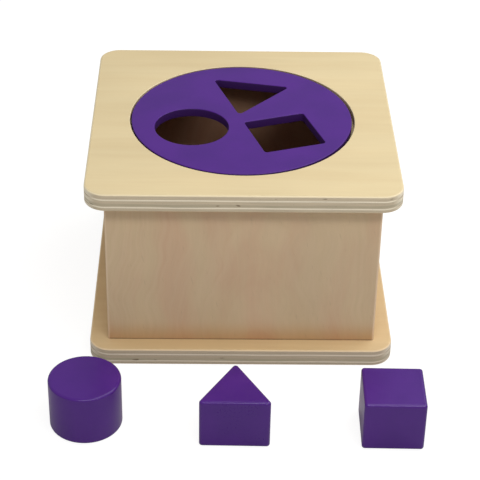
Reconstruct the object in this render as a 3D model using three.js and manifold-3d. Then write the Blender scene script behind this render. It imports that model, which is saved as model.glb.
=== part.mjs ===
// A shape sorter box: a square wooden box with a loose round lid that has three cut-outs, and the three
// blocks that go through them.
// Millimetres, +Z up. The origin is the centre of the base board's underside, and the front faces -Y.

import * as THREE from 'three';
import { mergeVertices } from 'three/addons/utils/BufferGeometryUtils.js';
import Module from 'manifold-3d';

// Base and top boards, cut alike from plywood.
const boardSide = 200;
const boardThickness = 12;
const boardCornerRadius = 14;
const boardRoundOver = 1.25;

// Walls. The front and back run the full width, and the two sides stand between them.
const boardOverhang = 12;
const wallHeight = 107;
const wallThickness = 12;
const wallRoundOver = 1.5;

// Stepped seat in the top board, and the lid disc that lies loose in it.
const seatDiameter = 150;
const seatLedge = 6;
const seatEase = 0.5;
const discThickness = 6;
const discRecess = 0.25;
const discClearance = 1.4;
const discRoundOver = 0.6;

// Where the loose disc has come to lie in its seat: a small shift and a turn in degrees.
const discShiftX = -0.45;
const discShiftY = 0.4;
const discTurn = -7;

// Cut-outs in the disc: each one's size, its distance and bearing from the disc's centre, and its own turn.
const roundCutoutDiameter = 49;
const roundCutoutDistance = 35.5;
const roundCutoutBearing = 207.5;
const triangleCutoutSide = 53;
const triangleCutoutDistance = 35;
const triangleCutoutBearing = 90;
const triangleCutoutTurn = -4.3;
const squareCutoutSide = 42;
const squareCutoutDistance = 34;
const squareCutoutBearing = 332.5;
const squareCutoutTurn = 25.4;
const cutoutCornerRadius = 2;

// Blocks. Each is its cut-out less the clearance on every side.
const blockClearance = 1.75;
const blockHeight = 34.5;
const blockCornerRadius = 2.1;
const blockRoundOver = 1.7;

// Where the blocks stand: across, ahead of the boards' front edge, and turned in degrees.
const roundBlockAcross = -98;
const roundBlockAhead = 58.1;
const triangleBlockAcross = -4.8;
const triangleBlockAhead = 69;
const squareBlockAcross = 93.2;
const squareBlockAhead = 65.2;
const blockTurn = -1;

// Glued dowels in the wall corners and between the walls and the top board.
const dowelDiameter = 6;
const dowelChamfer = 0.8;
const dowelClearance = 0.25;
const dowelCover = 5;
const dowelReach = 18;
const cornerDowelInset = 25;
const topDowelSpacing = 90;

// Countersunk screws that hold the walls from under the base board.
const screwLength = 40;
const screwShankDiameter = 3.6;
const screwHeadDiameter = 7.2;
const screwHeadHeight = 2.8;
const screwHeadRim = 0.5;
const screwTipLength = 5;
const screwSink = 0.5;
const screwClearance = 0.3;
const screwSlotWidth = 0.9;
const screwSlotLength = 3.8;
const screwSlotDepth = 1.4;
const screwSpacing = 90;

// Smoothness of the round forms, in straight steps.
const stepsPerHalfArc = 3;
const circleArcs = 14;
const roundOverSteps = 2;
const fastenerSteps = 14;

// Sizes that follow from the ones above.
const bodySide = boardSide - 2 * boardOverhang;
const sideWallLength = bodySide - 2 * wallThickness;
const topBoardLevel = boardThickness + wallHeight;
const seatDepth = discThickness + discRecess;
const seatLevel = boardThickness - seatDepth;
const discDiameter = seatDiameter - 2 * discClearance;
const dowelRadius = dowelDiameter / 2;
const dowelHoleRadius = dowelRadius + dowelClearance;
const faceDowelDepth = wallThickness - dowelCover;
const boardDowelDepth = boardThickness - dowelCover;
const cornerDowelHeights = { lower: cornerDowelInset, upper: wallHeight - cornerDowelInset };
const circleSteps = circleArcs * 2 * stepsPerHalfArc;
const cutterOverrun = 1;

const degrees = THREE.MathUtils.degToRad;
const wasm = await Module();
wasm.setup();

// Turns a closed geometry into a solid that can be cut.
function toSolid(geometry) {
  const bare = geometry.clone();
  bare.deleteAttribute('normal');
  bare.deleteAttribute('uv');
  const merged = mergeVertices(bare);
  const corners = merged.index.array;
  const triangles = [];
  for (let i = 0; i < corners.length; i += 3) {
    const [a, b, c] = corners.slice(i, i + 3);
    if (a !== b && b !== c && c !== a) triangles.push(a, b, c);
  }
  return new wasm.Manifold(new wasm.Mesh({
    numProp: 3,
    vertProperties: new Float32Array(merged.attributes.position.array),
    triVerts: new Uint32Array(triangles),
  }));
}

// Turns a solid back into a geometry.
function toGeometry(solid) {
  const { vertProperties, triVerts } = solid.getMesh();
  const geometry = new THREE.BufferGeometry();
  geometry.setAttribute('position', new THREE.BufferAttribute(vertProperties, 3));
  geometry.setIndex(new THREE.BufferAttribute(triVerts, 1));
  geometry.computeVertexNormals();
  return geometry;
}

function cut(geometry, cutters) {
  return toGeometry(cutters.reduce((solid, cutter) => solid.subtract(toSolid(cutter)), toSolid(geometry)));
}

// Materials, one for each mesh.
const finishes = {
  plywood: { color: 0xe4cfa4, roughness: 0.55, metalness: 0 },
  wallWood: { color: 0xd3b58c, roughness: 0.6, metalness: 0 },
  purplePaint: { color: 0x5b3793, roughness: 0.4, metalness: 0 },
  dowelWood: { color: 0xd9b986, roughness: 0.7, metalness: 0 },
  zincSteel: { color: 0xb9bcc0, roughness: 0.35, metalness: 1 },
};

function piece(name, geometry, finish) {
  const mesh = new THREE.Mesh(geometry, new THREE.MeshStandardMaterial(finishes[finish]));
  mesh.name = name;
  return mesh;
}

// An outline through corners that are listed anticlockwise, each corner rounded by an arc.
function roundedOutline(corners, radius) {
  const outline = new THREE.Shape();
  corners.forEach((corner, i) => {
    const arriving = corner.clone().sub(corners.at(i - 1)).normalize();
    const leaving = corners[(i + 1) % corners.length].clone().sub(corner).normalize();
    const setback = radius * Math.tan(Math.acos(arriving.dot(leaving)) / 2);
    const centre = corner.clone().addScaledVector(arriving, -setback);
    centre.add(new THREE.Vector2(-arriving.y, arriving.x).multiplyScalar(radius));
    const start = arriving.angle() - Math.PI / 2;
    outline.absarc(centre.x, centre.y, radius, start, leaving.angle() - Math.PI / 2, false);
  });
  outline.closePath();
  return outline;
}

// A regular polygon of a given side about a centre. At no turn its lowest side lies along X.
function polygonOutline(sides, side, radius, centre, turn) {
  const reach = side / (2 * Math.sin(Math.PI / sides));
  const first = -Math.PI / 2 - Math.PI / sides + turn;
  const corners = [];
  for (let i = 0; i < sides; i += 1) {
    const bearing = first + (2 * Math.PI * i) / sides;
    corners.push(new THREE.Vector2(Math.cos(bearing), Math.sin(bearing)).multiplyScalar(reach).add(centre));
  }
  return roundedOutline(corners, radius);
}

// A circle made of equal arcs, so that it is as smooth as the rounded corners beside it.
function circleOutline(diameter, centre) {
  const outline = new THREE.Shape();
  const span = (2 * Math.PI) / circleArcs;
  for (let i = 0; i < circleArcs; i += 1) {
    outline.absarc(centre.x, centre.y, diameter / 2, i * span, (i + 1) * span, false);
  }
  return outline;
}

// A slab standing on Z = 0, with its upper and lower edges rounded over.
function slab(outline, thickness, roundOver) {
  const geometry = new THREE.ExtrudeGeometry(outline, {
    depth: thickness - 2 * roundOver,
    curveSegments: stepsPerHalfArc,
    bevelThickness: roundOver,
    bevelSize: roundOver,
    bevelOffset: -roundOver,
    bevelSegments: roundOverSteps,
  });
  return geometry.translate(0, 0, roundOver);
}

// A turned form: its profile, as pairs of radius and height, runs from the axis up and back to the axis.
function turned(profile, steps) {
  const points = profile.map(([radius, height]) => new THREE.Vector2(radius, height));
  return new THREE.LatheGeometry(points, steps).rotateX(Math.PI / 2);
}

function boardBlank() {
  const outline = polygonOutline(4, boardSide, boardCornerRadius, new THREE.Vector2(), 0);
  return slab(outline, boardThickness, boardRoundOver);
}

// The four walls, by the quarter turn that brings the front wall round to each place.
const wallTurns = { front: 0, right: 90, back: 180, left: -90 };

// A point of a wall, given along the wall, in from its outer face and up, carried to the wall's place.
function onWall(wall, along, inward, up) {
  const point = new THREE.Vector3(along, inward - bodySide / 2, up);
  return point.applyAxisAngle(new THREE.Vector3(0, 0, 1), degrees(wallTurns[wall]));
}

// Both places along a wall that are a spacing apart.
const pairAt = (spacing) => [-spacing / 2, spacing / 2];

function seatCutter() {
  const mouthRadius = seatDiameter / 2 - seatLedge;
  const seatRadius = seatDiameter / 2;
  return turned([
    [0, -cutterOverrun],
    [mouthRadius, -cutterOverrun],
    [mouthRadius, seatLevel],
    [seatRadius, seatLevel],
    [seatRadius, boardThickness - seatEase],
    [seatRadius + seatEase + cutterOverrun, boardThickness + cutterOverrun],
    [0, boardThickness + cutterOverrun],
  ], circleSteps);
}

function dowelHole(depth) {
  const length = depth + dowelClearance + cutterOverrun;
  const hole = new THREE.CylinderGeometry(dowelHoleRadius, dowelHoleRadius, length, fastenerSteps);
  return hole.rotateX(Math.PI / 2).translate(0, 0, length / 2 - cutterOverrun);
}

function dowel(length) {
  return turned([
    [0, 0],
    [dowelRadius - dowelChamfer, 0],
    [dowelRadius, dowelChamfer],
    [dowelRadius, length - dowelChamfer],
    [dowelRadius - dowelChamfer, length],
    [0, length],
  ], fastenerSteps);
}

// A countersunk screw with its head down on Z = 0 and a cross slot in the head.
function screw() {
  const shank = screwShankDiameter / 2;
  const body = turned([
    [0, 0],
    [screwHeadDiameter / 2, 0],
    [screwHeadDiameter / 2, screwHeadRim],
    [shank, screwHeadHeight],
    [shank, screwLength - screwTipLength],
    [0, screwLength],
  ], fastenerSteps);
  const slotHeight = 2 * screwSlotDepth;
  const across = new THREE.BoxGeometry(screwSlotLength, screwSlotWidth, slotHeight);
  const along = new THREE.BoxGeometry(screwSlotWidth, screwSlotLength, slotHeight);
  return cut(body, [across, along]);
}

// The countersunk hole through the base board, from its underside up.
function countersink() {
  const head = screwHeadDiameter / 2 + screwClearance;
  const shank = screwShankDiameter / 2 + screwClearance;
  return turned([
    [0, -cutterOverrun],
    [head, -cutterOverrun],
    [head, screwSink + screwHeadRim],
    [shank, screwSink + screwHeadHeight],
    [shank, boardThickness + cutterOverrun],
    [0, boardThickness + cutterOverrun],
  ], fastenerSteps);
}

// The hole that a screw makes up into a wall's lower edge.
function screwHole() {
  const radius = screwShankDiameter / 2 + screwClearance;
  const length = screwSink + screwLength + screwClearance - boardThickness + cutterOverrun;
  const hole = new THREE.CylinderGeometry(radius, radius, length, fastenerSteps);
  return hole.rotateX(Math.PI / 2).translate(0, 0, length / 2 - cutterOverrun);
}

function baseBoard() {
  const cutters = [];
  for (const wall of Object.keys(wallTurns)) {
    for (const along of pairAt(screwSpacing)) {
      const { x, y } = onWall(wall, along, wallThickness / 2, 0);
      cutters.push(countersink().translate(x, y, 0));
    }
  }
  return piece('base_board', cut(boardBlank(), cutters), 'plywood');
}

function topBoard() {
  const cutters = [seatCutter()];
  for (const wall of Object.keys(wallTurns)) {
    for (const along of pairAt(topDowelSpacing)) {
      const { x, y } = onWall(wall, along, wallThickness / 2, 0);
      cutters.push(dowelHole(boardDowelDepth).translate(x, y, 0));
    }
  }
  const board = piece('top_board', cut(boardBlank(), cutters), 'plywood');
  board.position.z = topBoardLevel;
  return board;
}

// The outline of a wall seen from above, with its outer face on Y = 0. Only full-width walls show an
// outer corner at each end, and there the edge is rounded over.
function wallOutline(length, fullWidth) {
  const half = length / 2;
  const outline = new THREE.Shape();
  if (fullWidth) {
    outline.absarc(-half + wallRoundOver, wallRoundOver, wallRoundOver, Math.PI, 1.5 * Math.PI, false);
    outline.absarc(half - wallRoundOver, wallRoundOver, wallRoundOver, -0.5 * Math.PI, 0, false);
  } else {
    outline.moveTo(-half, 0);
    outline.lineTo(half, 0);
  }
  outline.lineTo(half, wallThickness);
  outline.lineTo(-half, wallThickness);
  outline.closePath();
  return outline;
}

// The holes for the corner dowels: into the inner face of a full-width wall, or into the ends of a side wall.
function cornerDowelHoles(fullWidth) {
  const holes = [];
  for (const height of Object.values(cornerDowelHeights)) {
    for (const end of [-1, 1]) {
      if (fullWidth) {
        const along = end * (bodySide - wallThickness) / 2;
        holes.push(dowelHole(faceDowelDepth).rotateX(Math.PI / 2).translate(along, wallThickness, height));
      } else {
        const turn = -end * Math.PI / 2;
        const along = end * sideWallLength / 2;
        holes.push(dowelHole(dowelReach).rotateY(turn).translate(along, wallThickness / 2, height));
      }
    }
  }
  return holes;
}

// One wall with the dowels in its top edge, the screws in its lower edge and, on a side wall, the dowels
// in its ends. The group's origin is at the foot of the wall's outer face.
function wallGroup(wall) {
  const group = new THREE.Group();
  const fullWidth = wall === 'front' || wall === 'back';
  const outline = wallOutline(fullWidth ? bodySide : sideWallLength, fullWidth);
  const blank = new THREE.ExtrudeGeometry(outline, {
    depth: wallHeight,
    curveSegments: stepsPerHalfArc,
    bevelEnabled: false,
  });
  const middle = wallThickness / 2;
  const cutters = cornerDowelHoles(fullWidth);

  pairAt(topDowelSpacing).forEach((along, i) => {
    cutters.push(dowelHole(dowelReach).rotateX(Math.PI).translate(along, middle, wallHeight));
    const pin = piece(`top_dowel_${wall}_${i + 1}`, dowel(dowelReach + boardDowelDepth), 'dowelWood');
    pin.position.set(along, middle, wallHeight - dowelReach);
    group.add(pin);
  });

  pairAt(screwSpacing).forEach((along, i) => {
    cutters.push(screwHole().translate(along, middle, 0));
    const fixing = piece(`base_screw_${wall}_${i + 1}`, screw(), 'zincSteel');
    fixing.position.set(along, middle, screwSink - boardThickness);
    group.add(fixing);
  });

  if (!fullWidth) {
    const frontEnd = wall === 'left' ? 1 : -1;
    for (const [level, height] of Object.entries(cornerDowelHeights)) {
      for (const [end, side] of [[frontEnd, 'front'], [-frontEnd, 'back']]) {
        const name = `corner_dowel_${side}_${wall}_${level}`;
        const pin = piece(name, dowel(dowelReach + faceDowelDepth), 'dowelWood');
        pin.rotation.y = end * Math.PI / 2;
        pin.position.set(end * (sideWallLength / 2 - dowelReach), middle, height);
        group.add(pin);
      }
    }
  }

  group.add(piece(`${wall}_wall`, cut(blank, cutters), 'wallWood'));
  group.rotation.z = degrees(wallTurns[wall]);
  group.position.copy(onWall(wall, 0, 0, boardThickness));
  return group;
}

// The centre of a cut-out on the disc.
function cutoutCentre(distance, bearing) {
  const angle = degrees(bearing);
  return new THREE.Vector2(Math.cos(angle), Math.sin(angle)).multiplyScalar(distance);
}

function triangleOutline(side, radius, centre, turn) {
  return polygonOutline(3, side, radius, centre, turn);
}

function squareOutline(side, radius, centre, turn) {
  return polygonOutline(4, side, radius, centre, turn);
}

// The lid disc. One corner of the triangle points at the disc's middle, so the triangle is half a turn round.
function shapeDisc() {
  const outline = circleOutline(discDiameter, new THREE.Vector2());
  const roundCentre = cutoutCentre(roundCutoutDistance, roundCutoutBearing);
  const triangleCentre = cutoutCentre(triangleCutoutDistance, triangleCutoutBearing);
  const squareCentre = cutoutCentre(squareCutoutDistance, squareCutoutBearing);
  const triangleTurn = Math.PI + degrees(triangleCutoutTurn);
  outline.holes.push(
    circleOutline(roundCutoutDiameter, roundCentre),
    triangleOutline(triangleCutoutSide, cutoutCornerRadius, triangleCentre, triangleTurn),
    squareOutline(squareCutoutSide, cutoutCornerRadius, squareCentre, degrees(squareCutoutTurn)),
  );
  const disc = piece('shape_disc', slab(outline, discThickness, discRoundOver), 'purplePaint');
  disc.position.set(discShiftX, discShiftY, topBoardLevel + seatLevel);
  disc.rotation.z = degrees(discTurn);
  return disc;
}

function placeBlock(block, across, ahead) {
  block.position.set(across, -boardSide / 2 - ahead, 0);
  block.rotation.z = degrees(blockTurn);
  return block;
}

// The round block, turned with an arc at its upper and lower edges.
function roundBlock() {
  const radius = roundCutoutDiameter / 2 - blockClearance;
  const edge = [];
  for (let i = 0; i <= roundOverSteps; i += 1) {
    const angle = (i / roundOverSteps) * (Math.PI / 2);
    const inset = blockRoundOver * (1 - Math.sin(angle));
    edge.push([radius - inset, blockRoundOver * (1 - Math.cos(angle))]);
  }
  const upperEdge = edge.toReversed().map(([x, height]) => [x, blockHeight - height]);
  const profile = [[0, 0], ...edge, ...upperEdge, [0, blockHeight]];
  const block = piece('round_block', turned(profile, circleSteps), 'purplePaint');
  return placeBlock(block, roundBlockAcross, roundBlockAhead);
}

function triangleBlock() {
  const side = triangleCutoutSide - 2 * Math.sqrt(3) * blockClearance;
  const outline = triangleOutline(side, blockCornerRadius, new THREE.Vector2(), 0);
  const block = piece('triangle_block', slab(outline, blockHeight, blockRoundOver), 'purplePaint');
  return placeBlock(block, triangleBlockAcross, triangleBlockAhead);
}

function squareBlock() {
  const side = squareCutoutSide - 2 * blockClearance;
  const outline = squareOutline(side, blockCornerRadius, new THREE.Vector2(), 0);
  const block = piece('square_block', slab(outline, blockHeight, blockRoundOver), 'purplePaint');
  return placeBlock(block, squareBlockAcross, squareBlockAhead);
}

const box = new THREE.Group();
box.add(baseBoard(), topBoard(), ...Object.keys(wallTurns).map(wallGroup));

const sorter = new THREE.Group();
sorter.add(box, shapeDisc(), roundBlock(), triangleBlock(), squareBlock());

export default sorter;
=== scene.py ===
"""The looks of a shape sorter box: a pale wooden box, a loose painted disc in its lid, and three blocks.

Metres, +Z up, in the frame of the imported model. The front of the box faces -Y. Shapes are worked out in
millimetres and turned into metres when a mesh is made.
"""

import math
from dataclasses import dataclass

import bmesh
import bpy
import numpy as np
from mathutils import Matrix, Vector
from mathutils.geometry import delaunay_2d_cdt


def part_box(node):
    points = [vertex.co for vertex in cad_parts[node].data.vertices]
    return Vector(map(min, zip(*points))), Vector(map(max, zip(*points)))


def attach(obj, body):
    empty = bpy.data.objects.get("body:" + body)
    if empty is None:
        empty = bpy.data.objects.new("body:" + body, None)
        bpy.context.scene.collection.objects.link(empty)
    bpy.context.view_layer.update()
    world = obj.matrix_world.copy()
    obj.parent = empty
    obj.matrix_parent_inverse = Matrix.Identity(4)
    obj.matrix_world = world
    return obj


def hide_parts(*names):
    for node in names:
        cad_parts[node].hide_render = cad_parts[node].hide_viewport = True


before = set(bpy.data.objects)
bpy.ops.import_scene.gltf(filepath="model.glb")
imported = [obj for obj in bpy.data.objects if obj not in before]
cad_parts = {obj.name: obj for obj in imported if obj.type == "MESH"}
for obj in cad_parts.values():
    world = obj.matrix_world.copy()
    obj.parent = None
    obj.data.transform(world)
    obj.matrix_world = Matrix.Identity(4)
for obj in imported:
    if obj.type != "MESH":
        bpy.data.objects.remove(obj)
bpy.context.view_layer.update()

MM = 0.001


def box_mm(node):
    """The lowest and highest corners of a node, in millimetres."""
    low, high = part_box(node)
    return np.array(low) / MM, np.array(high) / MM


# Boards: corners seen from above, and rounded edges
BOARD_CORNER = 14
BOARD_EDGE = 1.25

# Walls: outer corners, the slight rounding where pieces meet, the inner and outer faces, and the foot
WALL_EDGE = 1.5
JOINT_EASE = 0.3
INSIDE_HALF, WALL_HALF = (float(corner[0]) for corner in box_mm("right_wall"))
FOOT_LEVEL = float(box_mm("front_wall")[0][2])

# The round seat in the top board: its width, the ledge that holds the disc, and its eased edges
SEAT_DIAMETER = 150
SEAT_LEDGE = 6
SEAT_EASE = 0.5

# The lid disc and where it lies in its seat
DISC_CLEARANCE = 1.4
DISC_EDGE = 0.6
DISC_SHIFT = (-0.45, 0.4)
DISC_TURN = -7

# Cut-outs: size, distance and bearing from the disc's middle, and turn
ROUND_CUTOUT = (49, 35.5, 207.5)
TRIANGLE_CUTOUT = (53, 35, 90, 175.7)
SQUARE_CUTOUT = (42, 34, 332.5, 25.4)
CUTOUT_CORNER = 2

# Blocks: clearance in the cut-outs, edges, and where they stand
BLOCK_CLEARANCE = 1.75
BLOCK_CORNER = 2.1
BLOCK_EDGE = 1.7
BLOCK_TURN = -1
ROUND_BLOCK_PLACE = (-98, -158.1)
TRIANGLE_BLOCK_PLACE = (-4.8, -169)
SQUARE_BLOCK_PLACE = (93.2, -165.2)

# Screws under the base
SCREW_HEAD_DIAMETER = 7.2
SCREW_SHANK_DIAMETER = 3.6
SCREW_HEAD_HEIGHT = 2.8
SCREW_HEAD_RIM = 0.5
SCREW_SINK = 0.5
SCREW_CLEARANCE = 0.3

# Smoothness, in straight steps
CIRCLE_STEPS = 180
CORNER_STEPS = 12
EDGE_STEPS = 6
HOLE_STEPS = 40

# Meshes: the flat border beside an edge, how near points merge, the filling's tolerance, and the angle
# from which a corner stays hard
FACE_BORDER = 0.15
MERGE_DISTANCE = 0.001
FILL_TOLERANCE = 1e-7
SHARP_ANGLE = math.radians(40)

# Camera: millimetres and degrees
CAMERA_PLACE = (-20.79, -940.28, 649.26)
CAMERA_YAW = 1.267
CAMERA_PITCH = 33.223
CAMERA_ROLL = 1.125
CAMERA_LENS = 120.13
CAMERA_SENSOR = 36


# Outlines


@dataclass
class Outline:
    """A closed line, anticlockwise seen from above: its points, and the direction outward at each."""

    points: np.ndarray
    normals: np.ndarray

    def placed(self, turn, shift):
        """The same line turned about the origin by degrees, then shifted."""
        angle = math.radians(turn)
        spin = np.array([[math.cos(angle), math.sin(angle)], [-math.sin(angle), math.cos(angle)]])
        return Outline(self.points @ spin + np.asarray(shift, float), self.normals @ spin)


def rounded_outline(corners, radii, steps=CORNER_STEPS):
    """A line through corners with an arc of its own radius at each.

    The arc's centre lies radius * tan(turn / 2) before the corner along the arriving side, and one radius
    to the left of it. The arc runs through the angle that the line turns there.
    """
    corners = np.asarray(corners, float)
    radii = np.broadcast_to(np.asarray(radii, float), len(corners))[:, None]
    arriving = corners - np.roll(corners, 1, axis=0)
    arriving /= np.linalg.norm(arriving, axis=1, keepdims=True)
    leaving = np.roll(arriving, -1, axis=0)
    left = np.stack([-arriving[:, 1], arriving[:, 0]], axis=1)
    turn = np.arccos(np.clip((arriving * leaving).sum(axis=1), -1, 1))[:, None]
    centres = corners - arriving * radii * np.tan(turn / 2) + left * radii
    start = np.arctan2(arriving[:, 1], arriving[:, 0])[:, None] - np.pi / 2
    angles = start + turn * np.linspace(0, 1, steps + 1)
    normals = np.stack([np.cos(angles), np.sin(angles)], axis=2)
    points = centres[:, None, :] + radii[:, :, None] * normals
    return Outline(points.reshape(-1, 2), normals.reshape(-1, 2))


def rectangle(low, high, radii):
    """A rectangle between two corners, its own corners rounded from the low one anticlockwise."""
    corners = [(low[0], low[1]), (high[0], low[1]), (high[0], high[1]), (low[0], high[1])]
    return rounded_outline(corners, radii)


def regular(sides, side, radius):
    """A regular polygon about the origin, with its lowest side along X and its corners rounded."""
    reach = side / (2 * math.sin(math.pi / sides))
    bearings = -np.pi / 2 - np.pi / sides + 2 * np.pi * np.arange(sides) / sides
    return rounded_outline(reach * np.stack([np.cos(bearings), np.sin(bearings)], axis=1), radius)


def circle(diameter, steps=CIRCLE_STEPS):
    """A circle about the origin: the cosine and sine of equal steps of a whole turn."""
    angles = 2 * np.pi * np.arange(steps) / steps
    normals = np.stack([np.cos(angles), np.sin(angles)], axis=1)
    return Outline(diameter / 2 * normals, normals)


def polar(distance, bearing):
    """The point at a distance and a bearing in degrees from the origin."""
    angle = math.radians(bearing)
    return distance * math.cos(angle), distance * math.sin(angle)


# Profiles: rows of inset from the outline and height


def rounded_edge(inset, height, radius, rise):
    """A quarter arc from the face at that height to the side at that inset.

    At angle t the profile is radius * (1 - sin t) in from the side and radius * (1 - cos t) from the face,
    and rise is 1 where the side goes up from the face and -1 where it goes down.
    """
    t = np.linspace(0, np.pi / 2, EDGE_STEPS + 1)
    return np.stack([inset + radius * (1 - np.sin(t)), height + rise * radius * (1 - np.cos(t))], axis=1)


def slab_profile(bottom, top, radius):
    """A slab's side, from just inside its lower face round both edges to just inside its upper face."""
    border = radius + FACE_BORDER
    lower = rounded_edge(0, bottom, radius, 1)
    upper = rounded_edge(0, top, radius, -1)[::-1]
    return np.vstack([[border, bottom], lower, upper, [border, top]])


# Surfaces


class Surface:
    """Gathers the rings of points and the faces of one piece."""

    def __init__(self):
        self.points = np.zeros((0, 3))
        self.faces = []

    def add(self, points, faces):
        """Adds points, and faces that count from the first of them."""
        self.faces += (faces + len(self.points)).tolist()
        self.points = np.vstack([self.points, points])

    def side(self, outline, profile, hole=False):
        """Carries a profile round an outline and returns its lowest and highest rings.

        The point at step u of the outline and row v of the profile is outline(u) less inset(v) times the
        outward normal at u, or plus it for a hole, whose solid lies outside the line. Its height is
        height(v).
        """
        sign = 1 if hole else -1
        inset = profile[:, 0, None, None]
        flat = outline.points[None] + sign * inset * outline.normals[None]
        height = np.broadcast_to(profile[:, 1, None, None], flat.shape[:2] + (1,))
        grid = np.concatenate([flat, height], axis=2)
        here = np.arange(grid.shape[0] * grid.shape[1]).reshape(grid.shape[:2])
        beside = np.roll(here, -1, axis=1)
        quads = np.stack([here[:-1], beside[:-1], beside[1:], here[1:]], axis=2).reshape(-1, 4)
        self.add(grid.reshape(-1, 3), quads[:, ::-1] if hole else quads)
        return grid[0], grid[-1]

    def face(self, rings, up):
        """Fills the flat face inside the first ring and outside the others with triangles.

        A triangle is kept where a line from its middle along +X crosses the rings an odd number of times.
        """
        points = np.vstack(rings)
        starts = np.cumsum([0] + [len(ring) for ring in rings])
        here = np.arange(len(points))
        following = here + 1
        following[starts[1:] - 1] = starts[:-1]
        edges = np.stack([here, following], axis=1)
        flat = [Vector(point) for point in points[:, :2].tolist()]
        whole_hull = 0
        triangles = np.array(delaunay_2d_cdt(flat, edges.tolist(), [], whole_hull, FILL_TOLERANCE)[2])
        x, y = points[triangles, :2].mean(axis=1).T[:, :, None]
        (ax, ay), (bx, by) = points[here, :2].T, points[following, :2].T
        spans = (ay > y) != (by > y)
        rise = np.where(by == ay, 1, by - ay)
        ahead = x < ax + (y - ay) / rise * (bx - ax)
        triangles = triangles[(spans & ahead).sum(axis=1) % 2 == 1]
        first, second, third = points[triangles, :2].transpose(1, 0, 2)
        (px, py), (qx, qy) = (second - first).T, (third - first).T
        turned = (px * qy - py * qx > 0) != up
        triangles[turned] = triangles[turned][:, ::-1]
        self.add(points, triangles)

    def piece(self, name, material):
        """Makes the object: shared points merged, faces smooth, hard corners kept."""
        mesh = bpy.data.meshes.new(name)
        mesh.from_pydata((self.points * MM).tolist(), [], self.faces)
        work = bmesh.new()
        work.from_mesh(mesh)
        bmesh.ops.remove_doubles(work, verts=work.verts, dist=MERGE_DISTANCE * MM)
        work.to_mesh(mesh)
        work.free()
        mesh.shade_smooth()
        mesh.set_sharp_from_angle(angle=SHARP_ANGLE)
        mesh.materials.append(material)
        made = bpy.data.objects.new(name, mesh)
        bpy.context.scene.collection.objects.link(made)
        return made


def slab(outline, profile, holes=()):
    """A slab: its side, the sides of the holes through it, and its flat lower and upper faces."""
    surface = Surface()
    rings = [surface.side(outline, profile)]
    rings += [surface.side(line, side, hole=True) for line, side in holes]
    surface.face([lower for lower, upper in rings], up=False)
    surface.face([upper for lower, upper in rings], up=True)
    return surface


def dress(piece, body, node):
    """Puts a piece in the place of a node: it moves with the body, and the node it stands for is hidden."""
    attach(piece, body)
    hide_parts(node)


# Shader arithmetic


class Value:
    """A number on a node's socket. Arithmetic on it adds Math nodes."""

    def __init__(self, shader, socket):
        self.shader = shader
        self.socket = socket

    def __add__(self, other):
        return self.shader.math("ADD", self, other)

    def __sub__(self, other):
        return self.shader.math("SUBTRACT", self, other)

    def __rsub__(self, other):
        return self.shader.math("SUBTRACT", other, self)

    def __mul__(self, other):
        return self.shader.math("MULTIPLY", self, other)

    def __truediv__(self, other):
        return self.shader.math("DIVIDE", self, other)

    def __pow__(self, other):
        return self.shader.math("POWER", self, other)

    def __abs__(self):
        return self.shader.math("ABSOLUTE", self)

    __radd__ = __add__


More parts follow.
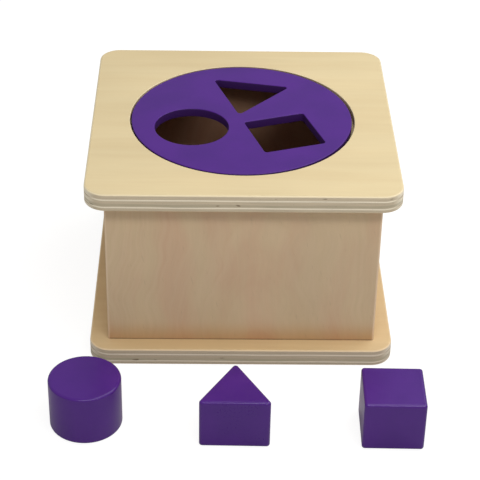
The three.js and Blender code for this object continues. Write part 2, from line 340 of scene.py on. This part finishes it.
class Shader:
    """Builds the nodes of one material or world."""

    def __init__(self, owner):
        owner.use_nodes = True
        self.tree = owner.node_tree
        self.tree.nodes.clear()

    def node(self, kind, settings=None, sockets=None):
        """Adds a node: its settings first, a ramp's stops among them, then its sockets' values or links."""
        made = self.tree.nodes.new(kind)
        for name, value in (settings or {}).items():
            if name == "stops":
                self.fill(made.color_ramp, value)
            else:
                setattr(made, name, value)
        for name, value in (sockets or {}).items():
            socket = next(each for each in made.inputs if name in (each.identifier, each.name))
            source = value.socket if isinstance(value, Value) else value
            if isinstance(source, bpy.types.NodeSocket):
                self.tree.links.new(source, socket)
            else:
                socket.default_value = source
        return made

    @staticmethod
    def fill(ramp, stops):
        """Sets a ramp's stops from pairs of place and colour."""
        while len(ramp.elements) < len(stops):
            ramp.elements.new(1)
        for element, (place, colour) in zip(ramp.elements, stops):
            element.position = place
            element.color = (*colour, 1)

    def math(self, operation, *values):
        """A Math node on numbers or Values."""
        made = self.node("ShaderNodeMath", {"operation": operation})
        for socket, value in zip(made.inputs, values):
            if isinstance(value, Value):
                self.tree.links.new(value.socket, socket)
            else:
                socket.default_value = value
        return Value(self, made.outputs[0])

    def millimetres(self):
        """The place on the piece, in millimetres."""
        place = self.node("ShaderNodeTexCoord").outputs["Object"]
        return self.stretch(place, (1 / MM,) * 3)

    def facing(self):
        """The direction that the surface faces, as three numbers along the piece's own axes."""
        return self.split(self.node("ShaderNodeTexCoord").outputs["Normal"])

    def stretch(self, vector, by):
        """A vector times another, axis by axis."""
        sockets = {"Vector": vector, "Vector_001": by}
        return self.node("ShaderNodeVectorMath", {"operation": "MULTIPLY"}, sockets).outputs[0]

    def split(self, vector):
        """The three numbers of a vector."""
        made = self.node("ShaderNodeSeparateXYZ", sockets={"Vector": vector})
        return [Value(self, socket) for socket in made.outputs]

    def join(self, x, y, z):
        """A vector of three numbers."""
        return self.node("ShaderNodeCombineXYZ", sockets={"X": x, "Y": y, "Z": z}).outputs[0]

    def noise(self, place, bumps, detail=2.0):
        """Smooth noise about 0.5, with that many bumps for each unit of the place along each axis."""
        sockets = {"Vector": self.stretch(place, bumps), "Scale": 1.0, "Detail": detail}
        return Value(self, self.node("ShaderNodeTexNoise", sockets=sockets).outputs[0])

    def step(self, value, low, high):
        """0 below low, 1 above high and smooth between."""
        settings = {"interpolation_type": "SMOOTHSTEP"}
        sockets = {"Value": value, "From Min": low, "From Max": high}
        return Value(self, self.node("ShaderNodeMapRange", settings, sockets).outputs[0])

    def ramp(self, value, stops):
        """Colours along a value from 0 to 1."""
        return self.node("ShaderNodeValToRGB", {"stops": stops}, {"Fac": value}).outputs["Color"]

    def mix(self, factor, first, second, blend="MIX"):
        """Two colours mixed by a factor."""
        colours = [(*c, 1) if isinstance(c, tuple) else c for c in (first, second)]
        settings = {"data_type": "RGBA", "blend_type": blend}
        sockets = {"Factor_Float": factor, "A_Color": colours[0], "B_Color": colours[1]}
        made = self.node("ShaderNodeMix", settings, sockets)
        return next(socket for socket in made.outputs if socket.identifier == "Result_Color")

    def tinted(self, colour, tint, factor=1.0):
        """A colour times a tint, as far as the factor says."""
        return self.mix(factor, colour, tint, "MULTIPLY")

    def tone(self, colour, amount):
        """A colour times a grey amount."""
        sockets = {"Red": amount, "Green": amount, "Blue": amount}
        return self.tinted(colour, self.node("ShaderNodeCombineColor", sockets=sockets).outputs[0])

    def bump(self, height, strength, distance):
        """Normals tilted by a height, its distance in millimetres."""
        sockets = {"Height": height, "Strength": strength, "Distance": distance * MM}
        return self.node("ShaderNodeBump", sockets=sockets).outputs[0]

    def surface(self, sockets):
        """Ends the material in a Principled shader."""
        shader = self.node("ShaderNodeBsdfPrincipled", sockets=sockets)
        self.node("ShaderNodeOutputMaterial", sockets={"Surface": shader.outputs[0]})


def new_material(name):
    """A material and the Shader that builds it."""
    material = bpy.data.materials.new(name)
    return material, Shader(material)


# Plywood

VENEER_PALE = (0.788, 0.65, 0.39)
VENEER_DARK = (0.704, 0.546, 0.302)
# A pale colour for a painted highlight on the rounded edges
VENEER_EDGE_HIGHLIGHT = (0.95, 0.84, 0.61)
LONG_GRAIN = (0.95, 0.85, 0.66)
END_GRAIN = (0.64, 0.53, 0.375)
CORE_DARK = (0.42, 0.37, 0.255)
VOID_DARK = (0.17, 0.115, 0.065)
# Painted shade: tints for the seat's wall round the disc and for the faces inside the box
SEAT_SHADE_TINT = (0.62, 0.5, 0.4)
INSIDE_SHADE_TINT = (0.63, 0.5, 0.49)

# The base's face is tinted darker and warmer than the top's, and its edge darker: painted shade and warm
# bounce light on the same plywood
TOP_FACE_TINT = (1.0, 0.99, 0.97)
TOP_EDGE_TINT = (0.94, 0.945, 0.94)
BASE_FACE_SHADE_TINT = (1.0, 0.895, 0.82)
BASE_EDGE_SHADE_TINT = (0.79, 0.78, 0.80)

# Plies of a board from its underside up: thickness, and whether the grain runs along X
PLIES = ((0.4, True), (2.1, False), (1.0, True), (4.3, False), (1.0, True), (2.8, False), (0.4, True))
PLY_THICKNESS = sum(depth for depth, _ in PLIES)
PLY_JOINT = 0.1
CORE_LEVEL = 4.6
UPPER_PLY_LEVEL = 10.3

# A level between the two boards
MIDDLE_LEVEL = 60

# Grain of the veneer, in bumps per millimetre along X, Y and Z, and how far its lines wander
VENEER_DRIFT = (0.008, 0.02, 0.05)
VENEER_WANDER = 14
BROAD_BANDS = (0.006, 0.07, 0.05)
FINE_BANDS = (0.022, 0.4, 0.3)
FIBRES = (0.045, 2.4, 2.4)
FLECKS = (0.3, 2.2, 2.2)
CLOUDS = (0.012, 0.03, 0.03)

# Marks on the edges, in bumps per millimetre along X, Y and Z
JOINT_WAVER = (0.03, 0.03, 0.2)
STREAKS = (0.03, 0.03, 1.7)
PORES = (1.3, 1.3, 1.3)
CORE_PATCHES = (0.035, 0.035, 0.25)
VOIDS = (0.11, 0.11, 0.4)


def ply_stops(along, across):
    """Ramp stops up through a board: its plies in turn, each an even colour, with narrow joints between."""
    stops, level = [], 0
    for depth, grain_along_x in PLIES:
        colour = along if grain_along_x else across
        stops.append(((level + PLY_JOINT) / PLY_THICKNESS, colour))
        level += depth
        stops.append(((level - PLY_JOINT) / PLY_THICKNESS, colour))
    return stops


def veneer_look(shader, place, face_tint):
    """The colour and the fibres of a quiet veneer.

    Broad bands, finer bands and fibres run along X and wander a little, with short dark flecks among them.
    """
    x, y, z = shader.split(place)
    across = y + shader.noise(place, VENEER_DRIFT) * VENEER_WANDER
    wandering = shader.join(x, across, z)
    broad = shader.noise(wandering, BROAD_BANDS)
    fine = shader.noise(wandering, FINE_BANDS)
    fibre = shader.noise(place, FIBRES, detail=3)
    fleck = shader.step(shader.noise(place, FLECKS), 0.66, 0.78)
    cloud = shader.noise(place, CLOUDS)
    banding = shader.step(broad * 0.78 + fine * 0.22, 0.34, 0.66)
    colour = shader.mix(banding, VENEER_DARK, VENEER_PALE)
    colour = shader.mix(0.4, VENEER_PALE, colour)
    shade = 0.955 + (fibre - 0.5) * 0.05 + (cloud - 0.5) * 0.14 - fleck * 0.04
    return shader.tinted(shader.tone(colour, shade), face_tint), fibre


def edge_look(shader, place, height, sideways, edge_tint):
    """The colour and the relief of the plies on a board's edges.

    The plies follow the height above the underside, with wavering joints. Those with grain along X are long
    grain on the front and back edges and end grain on the other two, and the rest are the other way round.
    Streaks run along the plies, and pores dot them.
    """
    waver = shader.noise(place, JOINT_WAVER) - 0.5
    level = (height + waver * 0.5) / PLY_THICKNESS
    front_plies = shader.ramp(level, ply_stops(LONG_GRAIN, END_GRAIN))
    side_plies = shader.ramp(level, ply_stops(END_GRAIN, LONG_GRAIN))
    colour = shader.mix(shader.step(abs(sideways), 0.4, 0.9), front_plies, side_plies)
    streak = shader.noise(place, STREAKS, detail=3)
    pores = shader.step(shader.noise(place, PORES, detail=1), 0.56, 0.74)
    colour = shader.tinted(shader.tone(colour, 0.78 + streak * 0.44 - pores * 0.1), edge_tint)

    # The core's dark middle comes and goes along the edge, and it and an upper ply have a few open voids
    core = 1 - shader.step(abs(height - CORE_LEVEL + waver * 2.2), 0.4, 1.3)
    patchy = 0.55 + shader.step(shader.noise(place, CORE_PATCHES, detail=3), 0.36, 0.66) * 0.45
    colour = shader.mix(core * patchy * 0.9, colour, CORE_DARK)
    in_core = 1 - shader.step(abs(height - CORE_LEVEL), 0.9, 1.6)
    in_upper_ply = 1 - shader.step(abs(height - UPPER_PLY_LEVEL), 0.3, 0.6)
    void = shader.step(shader.noise(place, VOIDS, detail=1), 0.69, 0.74)
    colour = shader.mix(void * (in_core + in_upper_ply) * 0.75, colour, VOID_DARK)
    return colour, streak - pores * 0.5


def plywood(name, underside, face_tint, edge_tint):
    """Pale plywood: a quiet veneer on the faces, and plies that show on the edges and in the seat."""
    material, shader = new_material(name)
    place = shader.millimetres()
    x, y, z = shader.split(place)
    sideways, _, upward = shader.facing()
    faces, fibre = veneer_look(shader, place, face_tint)
    edges, relief = edge_look(shader, place, z - underside, sideways, edge_tint)

    # Painted shade darkens the seat's wall round the disc, and the base's face inside the box
    radius = (x * x + y * y) ** 0.5
    seat_shade = 1 - shader.step(radius, SEAT_DIAMETER / 2 + 0.1, SEAT_DIAMETER / 2 + 0.5)
    edges = shader.tinted(edges, SEAT_SHADE_TINT, seat_shade)
    reach = shader.math("MAXIMUM", abs(x), abs(y))
    indoors = 1 - shader.step(reach, INSIDE_HALF - 0.2, INSIDE_HALF)
    on_base = 1 - shader.step(z, MIDDLE_LEVEL, MIDDLE_LEVEL + 1)
    inside_shade = indoors * shader.step(upward, 0.5, 0.9) * on_base
    faces = shader.tinted(faces, INSIDE_SHADE_TINT, inside_shade)

    # A painted highlight pales the veneer where it wraps over the rounded edges
    edge_highlight = 1 - shader.step(abs(upward), 0.85, 0.99)
    faces = shader.mix(edge_highlight * 0.6, faces, shader.tinted(VENEER_EDGE_HIGHLIGHT, face_tint))
    flat = shader.step(abs(upward), 0.25, 0.6)
    shader.surface({
        "Base Color": shader.mix(flat, edges, faces),
        "Roughness": 0.5 + fibre * 0.12 + (1 - flat) * 0.12,
        "Normal": shader.bump(fibre * flat + relief * (1 - flat), 0.18, 0.12),
        "Specular IOR Level": 0.3,
    })
    return material


# Solid wood of the walls

WALL_PALE = (0.695, 0.525, 0.345)
WALL_ROSY = (0.655, 0.447, 0.285)
WALL_OLIVE = (0.655, 0.497, 0.31)
# A pale colour for a painted highlight on the walls' upright corners
WALL_CORNER_HIGHLIGHT = (0.90, 0.69, 0.48)

# How far up the painted shade at the foot of the walls reaches, and its colour
FOOT_SHADE_REACH = 17
FOOT_SHADE_TINT = (0.92, 0.79, 0.66)

# Grain, in bumps per millimetre: drift and clouds along X, Y and Z, and the rest across, through and up the
# wall, with how far its lines wander and how far its flecks lean
WALL_DRIFT = (0.014, 0.014, 0.016)
WALL_WANDER = 34
WALL_CLOUDS = (0.035, 0.035, 0.02)
WALL_BANDS = (0.042, 0.06, 0.005)
WALL_FINE_BANDS = (0.42, 0.5, 0.03)
WALL_FIBRES = (2.6, 2.6, 0.06)
WALL_FLECKS = (0.9, 1.0, 0.11)
FLECK_SLANT = 0.22

# Arches of the grain: their middle line, their width, and the bumps along them and through the wall
ARCH_MIDDLE = 12
ARCH_WIDTH = 19
ARCH_RINGS = (1.0, 1.0, 0.05)


def wall_wood(name, across_axis):
    """Pale solid wood with upright grain: nested arches, soft bands and fibres along Z, and short flecks.

    across_axis is 0 for a wall along X and 1 for a wall along Y. The arches are level lines of the height
    plus the square of the distance from a middle line, so that they climb and meet there.
    """
    material, shader = new_material(name)
    place = shader.millimetres()
    x, y, z = shader.split(place)
    across, through = (x, y) if across_axis == 0 else (y, x)
    line = across + (shader.noise(place, WALL_DRIFT) - 0.5) * WALL_WANDER
    arch = ((line - ARCH_MIDDLE) / ARCH_WIDTH) ** 2 + z * 0.055 + through * 0.3
    rings = shader.noise(shader.join(arch, 0.0, through), ARCH_RINGS)
    wandering = shader.join(line, through, z)
    bands = shader.noise(wandering, WALL_BANDS, detail=3)
    fine = shader.noise(wandering, WALL_FINE_BANDS)
    cloud = shader.noise(place, WALL_CLOUDS, detail=3)
    fibre = shader.noise(shader.join(across, through, z), WALL_FIBRES, detail=3)
    slanted = shader.join(across + z * FLECK_SLANT, through, z)
    fleck = shader.step(shader.noise(slanted, WALL_FLECKS, detail=1), 0.66, 0.78)
    colour = shader.mix(shader.step(bands * 0.7 + cloud * 0.3, 0.41, 0.59), WALL_ROSY, WALL_OLIVE)
    colour = shader.mix(shader.step(rings, 0.35, 0.65) * 0.4, colour, WALL_PALE)
    shade = 0.97 + (fine - 0.5) * 0.06 + (fibre - 0.5) * 0.06 + (cloud - 0.5) * 0.16 - fleck * 0.09
    colour = shader.tone(colour, shade)

    # Painted shade darkens the foot, a painted contact shadow darkens its seam, and a painted highlight
    # pales the upright corners
    foot_shade = 1 - shader.step(z, FOOT_LEVEL, FOOT_LEVEL + FOOT_SHADE_REACH)
    colour = shader.tinted(colour, FOOT_SHADE_TINT, foot_shade)
    seam_shadow = 1 - shader.step(z, FOOT_LEVEL + 0.4, FOOT_LEVEL + 1.3)
    colour = shader.tone(colour, 1 - seam_shadow * 0.4)
    outer_end = shader.step(abs(across), WALL_HALF - 1.6, WALL_HALF - 0.7)
    outer_face = shader.step(abs(through), WALL_HALF - 3, WALL_HALF - 1)
    colour = shader.mix(outer_end * outer_face * 0.5, colour, WALL_CORNER_HIGHLIGHT)

    # Painted shade darkens the faces inside the box
    inside_shade = 1 - shader.step(abs(through), INSIDE_HALF + 0.1, INSIDE_HALF + 0.3)
    shader.surface({
        "Base Color": shader.tinted(colour, INSIDE_SHADE_TINT, inside_shade),
        "Roughness": 0.52 + fibre * 0.14,
        "Normal": shader.bump(fibre + fine * 0.6, 0.2, 0.12),
        "Specular IOR Level": 0.25,
    })
    return material


# Paint

PAINT = (0.079, 0.0100, 0.238)
PAINT_DEEP = (0.065, 0.0085, 0.208)
# A dark colour for painted shade on upright sides and cut-out walls
PAINT_SIDE_SHADE = (0.04, 0.009, 0.10)

# In bumps per millimetre along X, Y and Z
PAINT_DRIFT = (0.03, 0.03, 0.03)
ORANGE_PEEL = (0.75, 0.75, 0.75)
GRAIN_UNDER_PAINT = (0.05, 1.1, 1.1)


def purple_paint(name, depth, gloss, roughest, side_shade_amount):
    """Satin paint over wood: a faint drift of colour, a fine orange peel, and a little of the grain beneath.

    depth scales the colour, gloss is the strength of its reflections and roughest the most they are blurred.
    The last argument is how far painted shade darkens the upright sides, from 0 to 1.
    """
    material, shader = new_material(name)
    place = shader.millimetres()
    drift = shader.noise(place, PAINT_DRIFT, detail=3)
    peel = shader.noise(place, ORANGE_PEEL)
    grain = shader.noise(place, GRAIN_UNDER_PAINT)
    colour = shader.tone(shader.mix(shader.step(drift, 0.3, 0.7), PAINT_DEEP, PAINT), depth)
    upward = shader.facing()[2]
    shaded_sides = (1 - shader.step(abs(upward), 0.3, 0.7)) * side_shade_amount
    shader.surface({
        "Base Color": shader.mix(shaded_sides, colour, PAINT_SIDE_SHADE),
        "Roughness": roughest - 0.08 + drift * 0.05 + peel * 0.03 + shaded_sides * 0.2,
        "Normal": shader.bump(peel + grain * 0.7, 0.06, 0.1),
        "Specular IOR Level": gloss,
    })
    return material


# Dowels and screws

DOWEL_DARK = (0.60, 0.41, 0.2)
DOWEL_PALE = (0.78, 0.57, 0.31)
DOWEL_FLECK = (0.42, 0.25, 0.11)
ZINC_DULL = (0.42, 0.44, 0.47)
ZINC_BRIGHT = (0.62, 0.64, 0.67)
GRIME = (0.3, 0.29, 0.27)

# In bumps per millimetre along X, Y and Z
ZINC_SPANGLE = (1.4, 1.4, 1.4)
ZINC_GRIME = (0.5, 0.5, 0.5)


def dowel_wood(name, along):
    """Turned beech: fibres and short flecks along the dowel's axis."""
    material, shader = new_material(name)
    fibres = [1.8] * 3
    fibres[along] = 0.06
    flecks = [1.1] * 3
    flecks[along] = 0.35
    place = shader.millimetres()
    fibre = shader.noise(place, fibres, detail=3)
    fleck = shader.step(shader.noise(place, flecks), 0.6, 0.74)
    colour = shader.mix(fibre, DOWEL_DARK, DOWEL_PALE)
    shader.surface({
        "Base Color": shader.mix(fleck * 0.5, colour, DOWEL_FLECK),
        "Roughness": 0.6 + fibre * 0.2,
        "Normal": shader.bump(fibre, 0.2, 0.1),
    })
    return material


def zinc_steel():
    """Zinc-plated steel: a soft spangle and a little grime."""
    material, shader = new_material("zinc_steel")
    place = shader.millimetres()
    spangle = shader.noise(place, ZINC_SPANGLE, detail=3)
    grime = shader.step(shader.noise(place, ZINC_GRIME), 0.5, 0.75)
    colour = shader.mix(spangle, ZINC_DULL, ZINC_BRIGHT)
    shader.surface({
        "Base Color": shader.mix(grime * 0.4, colour, GRIME),
        "Metallic": 1.0,
        "Roughness": 0.28 + spangle * 0.2,
    })
    return material


# Pieces


def screw_places():
    """The middle of each screw, seen from above."""
    names = [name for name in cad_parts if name.startswith("base_screw")]
    return [sum(box_mm(name))[:2] / 2 for name in names]


def make_board(name, node, holes, face_tint, edge_tint):
    """A rounded square board in the place of a node, with holes."""
    low, high = box_mm(node)
    profile = slab_profile(low[2], high[2], BOARD_EDGE)
    surface = slab(rectangle(low, high, BOARD_CORNER), profile, holes)
    board = surface.piece(name, plywood(name, low[2], face_tint, edge_tint))
    dress(board, "box", node)


def make_base():
    """The base board, with countersunk holes up from its underside."""
    low, high = box_mm("base_board")
    head = SCREW_HEAD_DIAMETER / 2 + SCREW_CLEARANCE
    shank = SCREW_SHANK_DIAMETER / 2 + SCREW_CLEARANCE
    countersink = np.array([
        [head - shank + FACE_BORDER, low[2]],
        [head - shank, low[2]],
        [head - shank, low[2] + SCREW_SINK + SCREW_HEAD_RIM],
        [0, low[2] + SCREW_SINK + SCREW_HEAD_HEIGHT],
        [0, high[2]],
    ])
    hole = circle(2 * shank, HOLE_STEPS)
    holes = [(hole.placed(0, place), countersink) for place in screw_places()]
    make_board("base_plywood", "base_board", holes, BASE_FACE_SHADE_TINT, BASE_EDGE_SHADE_TINT)


def make_top():
    """The top board, with a stepped round seat. The seat's inset is counted from its upper wall."""
    low, high = box_mm("top_board")
    ledge = box_mm("shape_disc")[0][2]
    mouth = -SEAT_LEDGE
    seat = np.vstack([
        [mouth + SEAT_EASE + FACE_BORDER, low[2]],
        rounded_edge(mouth, low[2], SEAT_EASE, 1),
        rounded_edge(mouth, ledge, SEAT_EASE, -1)[::-1],
        [0, ledge],
        rounded_edge(0, high[2], SEAT_EASE, -1)[::-1],
        [SEAT_EASE + FACE_BORDER, high[2]],
    ])
    holes = [(circle(SEAT_DIAMETER), seat)]
    make_board("top_plywood", "top_board", holes, TOP_FACE_TINT, TOP_EDGE_TINT)


def make_walls():
    """Four upright boards. The front and back run the full width and have rounded outer corners."""
    front_back_wood = wall_wood("front_back_wood", 0)
    side_wood = wall_wood("side_wood", 1)
    finishes = {
        "front_wall": (front_back_wood, (WALL_EDGE, WALL_EDGE, JOINT_EASE, JOINT_EASE)),
        "back_wall": (front_back_wood, (JOINT_EASE, JOINT_EASE, WALL_EDGE, WALL_EDGE)),
        "left_wall": (side_wood, JOINT_EASE),
        "right_wall": (side_wood, JOINT_EASE),
    }
    for node, (wood, corner_radii) in finishes.items():
        low, high = box_mm(node)
        profile = slab_profile(low[2], high[2], JOINT_EASE / 2)
        surface = slab(rectangle(low, high, corner_radii), profile)
        dress(surface.piece(f"{node}_wood", wood), "box", node)


def cutout_outlines():
    """The three cut-outs, each as its own line on the disc."""
    size, distance, bearing = ROUND_CUTOUT
    lines = [circle(size, CIRCLE_STEPS // 2).placed(0, polar(distance, bearing))]
    for sides, (size, distance, bearing, turn) in ((3, TRIANGLE_CUTOUT), (4, SQUARE_CUTOUT)):
        lines.append(regular(sides, size, CUTOUT_CORNER).placed(turn, polar(distance, bearing)))
    return lines


def make_disc(paint):
    """The lid disc: a thin slab with three cut-outs, turned and shifted to where it lies in the seat."""
    low, high = box_mm("shape_disc")
    profile = slab_profile(low[2], high[2], DISC_EDGE)
    rim = circle(SEAT_DIAMETER - 2 * DISC_CLEARANCE).placed(DISC_TURN, DISC_SHIFT)
    holes = [(line.placed(DISC_TURN, DISC_SHIFT), profile) for line in cutout_outlines()]
    dress(slab(rim, profile, holes).piece("painted_disc", paint), "disc", "shape_disc")


def make_blocks(paint):
    """The three blocks. Each is its cut-out's shape, smaller by the clearance on every side."""
    triangle_side = TRIANGLE_CUTOUT[0] - 2 * math.sqrt(3) * BLOCK_CLEARANCE
    square_side = SQUARE_CUTOUT[0] - 2 * BLOCK_CLEARANCE
    shapes = {
        "round": (circle(ROUND_CUTOUT[0] - 2 * BLOCK_CLEARANCE), ROUND_BLOCK_PLACE),
        "triangle": (regular(3, triangle_side, BLOCK_CORNER), TRIANGLE_BLOCK_PLACE),
        "square": (regular(4, square_side, BLOCK_CORNER), SQUARE_BLOCK_PLACE),
    }
    for shape, (outline, place) in shapes.items():
        low, high = box_mm(f"{shape}_block")
        surface = slab(outline.placed(BLOCK_TURN, place), slab_profile(low[2], high[2], BLOCK_EDGE))
        block = surface.piece(f"painted_{shape}_block", paint)
        dress(block, f"{shape}_piece", f"{shape}_block")


def finish_fixings():
    """Gives the dowels and screws, which keep their own shapes, their finishes."""
    finishes = {
        "top_dowel": dowel_wood("upright_dowel_wood", 2),
        "corner_dowel": dowel_wood("level_dowel_wood", 1),
        "base_screw": zinc_steel(),
    }
    for name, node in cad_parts.items():
        for start, material in finishes.items():
            if name.startswith(start):
                node.data.materials.clear()
                node.data.materials.append(material)


# Stage

# The floor has one colour for the light that bounces off it. The camera sees a duller one, which takes the
# shadows, and an even glow. The sky has a strength for the light that it gives, and is white to the camera.
FLOOR_SIZE = 8.0
FLOOR_PALE = (0.71, 0.70, 0.685)
FLOOR_SHADE = (0.27, 0.266, 0.26)
FLOOR_GLOW = 0.85
SKY_LIGHT = 0.46


def seen_directly(shader):
    """1 for rays from the camera, and 0 for the rays that carry light."""
    return Value(shader, shader.node("ShaderNodeLightPath").outputs["Is Camera Ray"])


def make_floor():
    """A pale floor that takes the object's shadow and looks white where it is lit."""
    half = FLOOR_SIZE / 2
    corners = [(-half, -half, 0), (half, -half, 0), (half, half, 0), (-half, half, 0)]
    mesh = bpy.data.meshes.new("floor")
    mesh.from_pydata(corners, [], [(0, 1, 2, 3)])
    material, shader = new_material("floor_white")
    seen = seen_directly(shader)
    colour = shader.mix(seen, FLOOR_PALE, FLOOR_SHADE)
    plain = shader.node("ShaderNodeBsdfDiffuse", sockets={"Color": colour}).outputs[0]
    glow = shader.node("ShaderNodeEmission", sockets={"Strength": seen * FLOOR_GLOW}).outputs[0]
    both = shader.node("ShaderNodeAddShader", sockets={"Shader": plain, "Shader_001": glow})
    shader.node("ShaderNodeOutputMaterial", sockets={"Surface": both.outputs[0]})
    mesh.materials.append(material)
    floor = bpy.data.objects.new("floor", mesh)
    bpy.context.scene.collection.objects.link(floor)


def make_sky():
    """A white surround to look at, and a dimmer even light from it."""
    world = bpy.data.worlds.new("studio")
    bpy.context.scene.world = world
    shader = Shader(world)
    strength = SKY_LIGHT + seen_directly(shader) * (1 - SKY_LIGHT)
    sky = shader.node("ShaderNodeBackground", sockets={"Color": (1, 1, 1, 1), "Strength": strength})
    shader.node("ShaderNodeOutputWorld", sockets={"Surface": sky.outputs[0]})


def soft_box(name, place, width, depth, power, aim):
    """A rectangular lamp at a place, facing the aim, in metres and watts."""
    lamp = bpy.data.lights.new(name, "AREA")
    lamp.shape = "RECTANGLE"
    lamp.size = width
    lamp.size_y = depth
    lamp.energy = power
    made = bpy.data.objects.new(name, lamp)
    made.location = place
    made.rotation_euler = (Vector(aim) - Vector(place)).to_track_quat("-Z", "Y").to_euler()
    bpy.context.scene.collection.objects.link(made)


def make_camera():
    """The camera, from its place and from how far it is turned aside, tipped down and rolled."""
    yaw, pitch, roll = (math.radians(angle) for angle in (CAMERA_YAW, CAMERA_PITCH, CAMERA_ROLL))
    ahead = Vector((math.sin(yaw) * math.cos(pitch), math.cos(yaw) * math.cos(pitch), -math.sin(pitch)))
    level = Vector((math.cos(yaw), -math.sin(yaw), 0))
    rise = level.cross(ahead)
    right = level * math.cos(roll) + rise * math.sin(roll)
    up = rise * math.cos(roll) - level * math.sin(roll)
    turn = Matrix((right, up, -ahead)).transposed().to_4x4()
    lens = bpy.data.cameras.new("camera")
    lens.lens = CAMERA_LENS
    lens.sensor_width = CAMERA_SENSOR
    camera = bpy.data.objects.new("camera", lens)
    camera.matrix_world = Matrix.Translation(Vector(CAMERA_PLACE) * MM) @ turn
    bpy.context.scene.collection.objects.link(camera)
    bpy.context.scene.camera = camera


make_base()
make_top()
make_walls()
make_disc(purple_paint("disc_paint", depth=1.0, gloss=0.3, roughest=0.38, side_shade_amount=1.0))
make_blocks(purple_paint("block_paint", depth=0.97, gloss=0.39, roughest=0.28, side_shade_amount=0.22))
finish_fixings()

make_floor()
make_sky()
soft_box(
    "overhead_box",
    place=(0.32, 0.10, 0.66),
    width=0.70,
    depth=0.70,
    power=2.55,
    aim=(0.0, 0.0, 0.1),
)
soft_box(
    "front_strip",
    place=(0.13, -0.68, 0.84),
    width=0.80,
    depth=0.15,
    power=3.1,
    aim=(0.0, -0.14, 0.05),
)
make_camera()
bpy.context.scene.view_settings.view_transform = "Standard"
